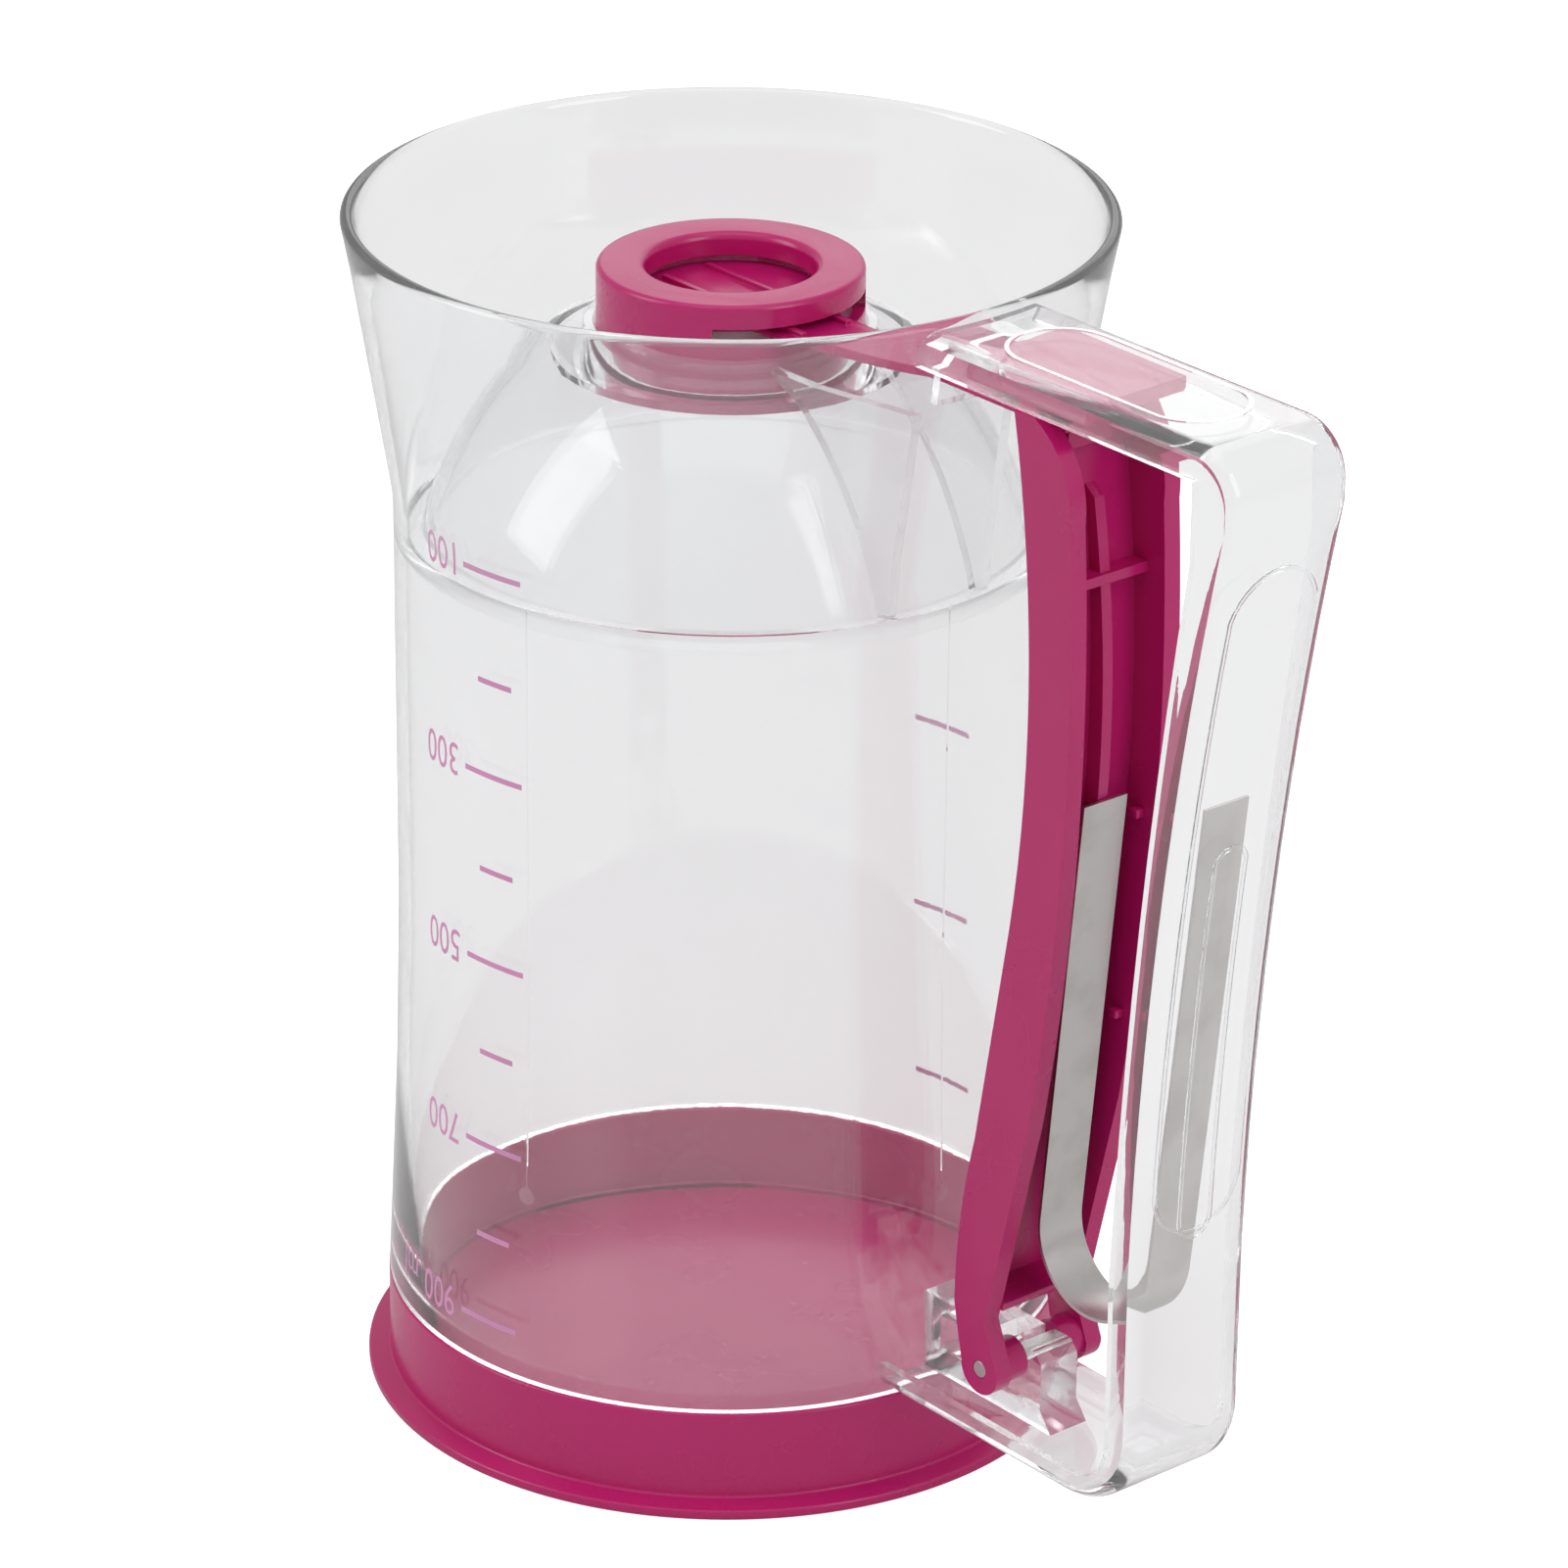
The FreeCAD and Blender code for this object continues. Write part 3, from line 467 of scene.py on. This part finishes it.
def jug():
    outer, skirt, neck, under, inner, rim_round = jug_outline()
    outer = outer + [(skirt_radius(SLOT_LOW), SLOT_LOW), (skirt_radius(SLOT_HIGH), SLOT_HIGH)]
    skirt[0] = (skirt_radius(SLOT_HIGH) - WALL, SLOT_HIGH)
    skirt[1] = (skirt_radius(SLOT_LOW) - WALL, SLOT_LOW)
    profile = outer + rim_round + skirt + dome_line(0) + neck + under + inner
    piece = lathe("jug_wall", profile)
    made = bmesh.new()
    made.from_mesh(piece.data)
    half = math.radians(SLOT_STEPS * 360 / STEPS) + 0.001
    hole = []
    for face in made.faces:
        middle = face.calc_center_median()
        at_slot = SLOT_LOW * MM < middle.z < SLOT_HIGH * MM and middle.xy.length > 45 * MM
        if at_slot and abs(math.atan2(middle.y, middle.x)) < half:
            hole.append(face)
    bmesh.ops.delete(made, geom=hole, context="FACES")
    open_edges = [edge for edge in made.edges if edge.is_boundary]
    bmesh.ops.bridge_loops(made, edges=open_edges)
    bmesh.ops.recalc_face_normals(made, faces=made.faces)
    made.to_mesh(piece.data)
    made.free()
    piece.data.set_sharp_from_angle(angle=math.radians(SMOOTH_ANGLE))
    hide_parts("jug_body")
    return dress(piece, CLEAR, "jug")


def gusset(side):
    """One of the two thin walls that carry the shutter's tail, between dome and skirt."""
    name = "gusset_near" if side < 0 else "gusset_far"
    top = [(COLLAR + 0.3, COLLAR_TOP - 0.4), (skirt_radius(GUSSET_TOP) - WALL - 0.15, GUSSET_TOP)]
    foot = [(skirt_radius(146) - WALL - 0.15, 146), (BODY - WALL - 0.2, DOME_FOOT[1] + 0.6)]
    along_dome = [(radius + 0.25, height + 0.25) for radius, height in dome_line(0)]
    corners = top + foot + along_dome
    made = bmesh.new()
    low = side * (GUSSET_GAP + GUSSET_WALL / 2) - GUSSET_WALL / 2
    ring = []
    for radius, height in corners:
        reach = math.sqrt(max(radius ** 2 - (GUSSET_GAP + GUSSET_WALL) ** 2, 1))
        ring.append(made.verts.new((reach * MM, low * MM, height * MM)))
    face = made.faces.new(ring)
    grown = bmesh.ops.extrude_face_region(made, geom=[face])
    moved = [item for item in grown["geom"] if isinstance(item, bmesh.types.BMVert)]
    bmesh.ops.translate(made, verts=moved, vec=(0, GUSSET_WALL * MM, 0))
    bmesh.ops.recalc_face_normals(made, faces=made.faces)
    mesh = bpy.data.meshes.new(name)
    made.to_mesh(mesh)
    made.free()
    return dress(finished(name, mesh), CLEAR, "jug")


def lid():
    corners = [
        (0, 0),
        (LID_FOOT, 0),
        (LID_FOOT, LID_FOOT_TOP),
        (MOUTH + LID_WALL, LID_WALL_FOOT),
        (MOUTH + LID_WALL, LID_TOP),
        (MOUTH + LID_FIT, LID_TOP),
        (MOUTH + LID_FIT, LID_FLOOR),
        (0, LID_FLOOR),
    ]
    piece = lathe("lid_shell", softened(corners, LID_ROUND))
    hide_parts("lid")
    return dress(piece, PLUM, "lid_body")


jug()
for side in (-1, 1):
    gusset(side)
lid()

PIECES = [
    ("valve_cap", "cap_ring", PLUM, "plum_plastic", "jug", 0.3),
    ("nozzle_seal", "seal_ring", SILICONE, "seal_silicone", "jug", 0.3),
    ("handle", "handle_strap", CLEAR, "clear_plastic", "jug", 0.3),
    ("shutter_plate", "shutter_blade", PLUM, "plum_plastic", "shutter", 0.12),
    ("trigger_lever", "lever_channel", PLUM, "plum_plastic", "lever", 0.4),
    ("hinge_pin", "pivot_pin", STEEL, "spring_steel", "lever", 0.15),
    ("leaf_spring", "spring_leaf", STEEL, "spring_steel", None, 0),
]
for node, name, material, slot_name, body_name, soft in PIECES:
    piece = copy_of(node, name, soft)
    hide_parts(node)
    dress(piece, material, body_name)
    if node == "leaf_spring":
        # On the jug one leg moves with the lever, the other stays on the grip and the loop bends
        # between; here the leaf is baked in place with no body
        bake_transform(piece)


# Printed scale on the outside of the jug
def wall_radius(height):
    """The outside radius of the jug wall at a height, up to the skirt."""
    if height < FLARE[1]:
        share = (height - LEDGE) / (FLARE[1] - LEDGE)
        return BASE + (FLARE[0] - BASE) * share
    if height < BODY_FROM:
        share = (height - FLARE[1]) / (BODY_FROM - FLARE[1])
        return FLARE[0] + (BODY - FLARE[0]) * share
    return BODY


def wrapped(made, middle, height):
    """Lay a flat drawing, x along the wall and y up it, on the wall round an azimuth in degrees."""
    for vert in made.verts:
        tall = height + vert.co.y
        radius = wall_radius(tall) + PRINT_PROUD + vert.co.z
        angle = math.radians(middle) + vert.co.x / radius
        vert.co = Vector((radius * math.cos(angle), radius * math.sin(angle), tall)) * MM


def mark_line(made_all, height, line, middle):
    """One printed line, given by its start and length, cut finely enough to follow the wall."""
    start, length = line
    made = bmesh.new()
    bmesh.ops.create_grid(made, x_segments=10, y_segments=1, size=0.5)
    bmesh.ops.scale(made, vec=(length, LINE_WIDTH, 1), verts=made.verts)
    bmesh.ops.translate(made, vec=(start + length / 2, 0, 0), verts=made.verts)
    wrapped(made, middle, height)
    join_into(made_all, made)


def join_into(target, made):
    mesh = bpy.data.meshes.new("part_of_print")
    made.to_mesh(mesh)
    made.free()
    target.from_mesh(mesh)
    bpy.data.meshes.remove(mesh)


def numeral(made_all, words, height, right_end, middle):
    """A number, upside down as the jug stands on its lid."""
    curve = bpy.data.curves.new("numeral", "FONT")
    curve.body = words
    curve.size = FIGURE_SIZE
    curve.align_x = "LEFT"
    curve.resolution_u = 3
    holder = bpy.data.objects.new("numeral", curve)
    bpy.context.scene.collection.objects.link(holder)
    bpy.context.view_layer.update()
    mesh = bpy.data.meshes.new_from_object(holder)
    bpy.data.objects.remove(holder)
    made = bmesh.new()
    made.from_mesh(mesh)
    bmesh.ops.triangulate(made, faces=made.faces)
    bmesh.ops.scale(made, vec=(-FIGURE_NARROW, -1, 1), verts=made.verts)
    wide = max(vert.co.x for vert in made.verts)
    bmesh.ops.translate(made, vec=(right_end - wide, 0, 0), verts=made.verts)
    wrapped(made, middle, height)
    join_into(made_all, made)


def printed(name, made_all):
    """Make the drawn lines and figures one piece that faces outwards."""
    bmesh.ops.remove_doubles(made_all, verts=made_all.verts, dist=1e-7)
    for face in made_all.faces:
        outward = Vector((face.calc_center_median().x, face.calc_center_median().y, 0))
        if face.normal.dot(outward) < 0:
            face.normal_flip()
    mesh = bpy.data.meshes.new(name)
    made_all.to_mesh(mesh)
    made_all.free()
    piece = bpy.data.objects.new(name, mesh)
    bpy.context.scene.collection.objects.link(piece)
    return dress(piece, PRINT, "jug")


def near_scale():
    """Long lines with their numbers, and a short line between each two."""
    made_all = bmesh.new()
    for volume, height in MARKS:
        if volume % 200 == 100:
            mark_line(made_all, height, LONG_LINE, NEAR_SIDE)
            numeral(made_all, "%d" % volume, height + FIGURE_LIFT, FIGURE_END, NEAR_SIDE)
        else:
            mark_line(made_all, height, SHORT_LINE, NEAR_SIDE)
    numeral(made_all, "ml", MARKS[-1][1] + FIGURE_LIFT, UNIT_END, NEAR_SIDE)
    return printed("scale_near", made_all)


def far_scale():
    """The plain long lines on the other side."""
    made_all = bmesh.new()
    for height in FAR_MARKS:
        mark_line(made_all, height, LONG_LINE, FAR_SIDE)
    return printed("scale_far", made_all)


near_scale()
far_scale()


# Fine raised lines where the halves of the jug's mould met, each with its ejector mark
def parting_line(name, middle):
    """One line up the wall from its round mark to just under the skirt."""
    made_all = bmesh.new()
    low = EJECTOR_HEIGHT + 1.3
    high = SKIRT_FOOT - 3
    ridge = bmesh.new()
    bmesh.ops.create_grid(ridge, x_segments=2, y_segments=12, size=0.5)
    bmesh.ops.scale(ridge, vec=(PARTING_WIDTH, high - low, 1), verts=ridge.verts)
    for vert in ridge.verts:
        vert.co.z = PARTING_PROUD if abs(vert.co.x) < PARTING_WIDTH / 4 else -0.01
    wrapped(ridge, middle, (low + high) / 2)
    join_into(made_all, ridge)
    mark = bmesh.new()
    bmesh.ops.create_circle(mark, cap_ends=True, segments=24, radius=EJECTOR_RADIUS)
    bmesh.ops.inset_region(mark, faces=list(mark.faces), thickness=EJECTOR_BORDER,
                           use_boundary=True, use_even_offset=True)
    for vert in mark.verts:
        vert.co.z = PARTING_PROUD if vert.co.length < EJECTOR_RADIUS - 0.1 else 0.01
    wrapped(mark, middle, EJECTOR_HEIGHT)
    join_into(made_all, mark)
    bmesh.ops.remove_doubles(made_all, verts=made_all.verts, dist=1e-7)
    bmesh.ops.recalc_face_normals(made_all, faces=made_all.faces)
    mesh = bpy.data.meshes.new(name)
    made_all.to_mesh(mesh)
    made_all.free()
    return dress(finished(name, mesh), CLEAR, "jug")


def lever_detail():
    """The cross wall at the lever's foot and the small stops on its far flank."""
    made_all = bmesh.new()
    # Middle, size and lean of the cross wall and of the two stops
    blocks = [
        ((68.6, 0, 39.2), (6.2, 14.4, 1.5), 16),
        ((81.6, 6.5, 116), (1.7, 1.6, 1.4), 0),
        ((78.6, 6.5, 84), (1.7, 1.6, 1.4), 0),
    ]
    for middle, size, lean in blocks:
        made = bmesh.new()
        bmesh.ops.create_cube(made, size=1)
        bmesh.ops.scale(made, vec=size, verts=made.verts)
        bmesh.ops.bevel(made, geom=made.edges, affect="EDGES", offset=0.3, segments=2,
                        profile=0.5, material=-1)
        turn = Matrix.Rotation(math.radians(lean), 4, "Y")
        made.transform(Matrix.Scale(MM, 4) @ Matrix.Translation(middle) @ turn)
        join_into(made_all, made)
    mesh = bpy.data.meshes.new("lever_stops")
    made_all.to_mesh(mesh)
    made_all.free()
    return dress(finished("lever_stops", mesh), PLUM, "lever")


def grip_reach(height):
    """How far out the grip's outer face lies at a height: a circle through three points."""
    (x1, z1), (x2, z2), (x3, z3) = GRIP_FACE
    double = 2 * (x1 * (z2 - z3) + x2 * (z3 - z1) + x3 * (z1 - z2))
    one, two, three = x1 ** 2 + z1 ** 2, x2 ** 2 + z2 ** 2, x3 ** 2 + z3 ** 2
    centre_x = (one * (z2 - z3) + two * (z3 - z1) + three * (z1 - z2)) / double
    centre_z = (one * (x3 - x2) + two * (x1 - x3) + three * (x2 - x1)) / double
    radius = math.hypot(x1 - centre_x, z1 - centre_z)
    return centre_x - math.copysign(math.sqrt(radius ** 2 - (height - centre_z) ** 2), centre_x - x1)


def on_grip(across, along, out):
    """A point on the grip's outer face, along by height."""
    return grip_reach(along) + out, across, along


def on_arm(across, along, out):
    """A point on the top of the arm, along by reach."""
    return along, across, ARM_TOP + out


def bead_loop(name, loop, place):
    """A raised bead in a long loop with round ends, laid on a face by a rule for its points."""
    length, width, middle = loop
    made = bmesh.new()
    bmesh.ops.create_circle(made, cap_ends=True, segments=32, radius=width / 2)
    for vert in made.verts:
        vert.co.y += math.copysign((length - width) / 2, vert.co.y if abs(vert.co.y) > 1e-4 else -1)
    bmesh.ops.inset_region(made, faces=list(made.faces), thickness=BEAD_WIDE,
                           use_boundary=True, use_even_offset=True)
    inner = [face for face in made.faces if len(face.verts) > 8]
    bmesh.ops.delete(made, geom=inner, context="FACES")
    long_ones = [edge for edge in made.edges if edge.calc_length() > length / 2]
    bmesh.ops.subdivide_edges(made, edges=long_ones, cuts=12)
    bmesh.ops.triangulate(made, faces=made.faces)
    bmesh.ops.solidify(made, geom=list(made.faces), thickness=BEAD_THICK)
    lowest = min(vert.co.z for vert in made.verts)
    for vert in made.verts:
        out = vert.co.z - lowest - BEAD_SUNK
        vert.co = Vector(place(vert.co.x, middle + vert.co.y, out)) * MM
    bmesh.ops.recalc_face_normals(made, faces=made.faces)
    mesh = bpy.data.meshes.new(name)
    made.to_mesh(mesh)
    made.free()
    return dress(finished(name, mesh), CLEAR, "jug")


for name, middle in PARTING_LINES:
    parting_line(name, middle)
lever_detail()
bead_loop("grip_bead", GRIP_BEAD, on_grip)
bead_loop("grip_border", GRIP_BORDER, on_grip)
bead_loop("arm_border", ARM_BORDER, on_arm)


# Camera at the photograph's angle
CAMERA_PLACE = (0.72392, -0.59675, 0.50839)
CAMERA_HEADING = 49.99
CAMERA_PITCH = 23.833
CAMERA_ROLL = 0.569
CAMERA_LENS = 159.01

camera = bpy.data.objects.new("camera", bpy.data.cameras.new("camera"))
bpy.context.scene.collection.objects.link(camera)
turn = Matrix.Rotation(math.radians(CAMERA_HEADING), 4, "Z")
tilt = Matrix.Rotation(math.radians(90 - CAMERA_PITCH), 4, "X")
roll = Matrix.Rotation(math.radians(CAMERA_ROLL), 4, "Z")
camera.matrix_world = Matrix.Translation(CAMERA_PLACE) @ turn @ tilt @ roll
camera.data.sensor_width = 36
camera.data.lens = CAMERA_LENS
camera.data.clip_start = 0.05
bpy.context.scene.camera = camera


# Floor, white to the camera, with the object's soft shadow
def studio_floor():
    mesh = bpy.data.meshes.new("floor")
    made = bmesh.new()
    bmesh.ops.create_circle(made, cap_ends=True, segments=64, radius=4)
    made.to_mesh(mesh)
    made.free()
    floor = bpy.data.objects.new("floor", mesh)
    bpy.context.scene.collection.objects.link(floor)
    material, tree, shader = nodes_of("floor_paper")
    shader.inputs["Base Color"].default_value = (0.74, 0.74, 0.74, 1)
    shader.inputs["Roughness"].default_value = 0.9
    shader.inputs["Specular IOR Level"].default_value = 0.1
    glow = add(tree, "ShaderNodeEmission")
    both = add(tree, "ShaderNodeAddShader")
    path = add(tree, "ShaderNodeLightPath")
    through = add(tree, "ShaderNodeMath", operation="MULTIPLY")
    through.inputs[1].default_value = 0.22
    strength = add(tree, "ShaderNodeMath", operation="MULTIPLY_ADD")
    strength.inputs[1].default_value = 0.75
    tree.links.new(path.outputs["Is Transmission Ray"], through.inputs[0])
    tree.links.new(path.outputs["Is Camera Ray"], strength.inputs[0])
    tree.links.new(through.outputs[0], strength.inputs[2])
    tree.links.new(strength.outputs[0], glow.inputs["Strength"])
    tree.links.new(shader.outputs[0], both.inputs[0])
    tree.links.new(glow.outputs[0], both.inputs[1])
    tree.links.new(both.outputs[0], tree.nodes["Material Output"].inputs["Surface"])
    mesh.materials.append(material)


def area_light(name, place, target, width, height, power):
    data = bpy.data.lights.new(name, "AREA")
    data.shape = "RECTANGLE"
    data.size = width
    data.size_y = height
    data.energy = power
    light = bpy.data.objects.new(name, data)
    bpy.context.scene.collection.objects.link(light)
    light.location = place
    aim = Vector(target) - Vector(place)
    light.rotation_euler = aim.to_track_quat("-Z", "Y").to_euler()


def studio_world():
    world = bpy.data.worlds.new("studio")
    bpy.context.scene.world = world
    world.use_nodes = True
    tree = world.node_tree
    background = tree.nodes["Background"]
    place = add(tree, "ShaderNodeTexCoord")
    height = add(tree, "ShaderNodeSeparateXYZ")
    tree.links.new(place.outputs["Generated"], height.inputs["Vector"])
    ramp = add(tree, "ShaderNodeValToRGB")
    ramp.color_ramp.elements[0].position = 0.0
    ramp.color_ramp.elements[0].color = (0.75, 0.75, 0.76, 1)
    ramp.color_ramp.elements[1].position = 0.7
    ramp.color_ramp.elements[1].color = (0.95, 0.95, 0.96, 1)
    tree.links.new(height.outputs["Z"], ramp.inputs["Fac"])
    tree.links.new(ramp.outputs["Color"], background.inputs["Color"])
    # The camera and the clear walls see a paler surround than the one that lights the object
    path = add(tree, "ShaderNodeLightPath")
    seen = add(tree, "ShaderNodeMath", operation="MAXIMUM")
    tree.links.new(path.outputs["Is Camera Ray"], seen.inputs[0])
    tree.links.new(path.outputs["Is Transmission Ray"], seen.inputs[1])
    strength = add(tree, "ShaderNodeMath", operation="MULTIPLY_ADD")
    strength.inputs[1].default_value = 0.36
    strength.inputs[2].default_value = 0.62
    tree.links.new(seen.outputs[0], strength.inputs[0])
    tree.links.new(strength.outputs[0], background.inputs["Strength"])


studio_floor()
studio_world()
area_light("key_left", (-0.55, -0.85, 0.75), (0, 0, 0.1), 0.5, 0.8, 4.0)
area_light("fill_right", (1.0, 0.15, 0.7), (0.05, 0, 0.1), 0.5, 0.8, 3.4)
area_light("top", (0.1, -0.1, 1.1), (0, 0, 0), 0.8, 0.8, 1.6)
area_light("back", (-0.6, 0.8, 0.7), (0, 0, 0.1), 0.9, 0.6, 1.3)
bpy.context.scene.view_settings.view_transform = "Standard"
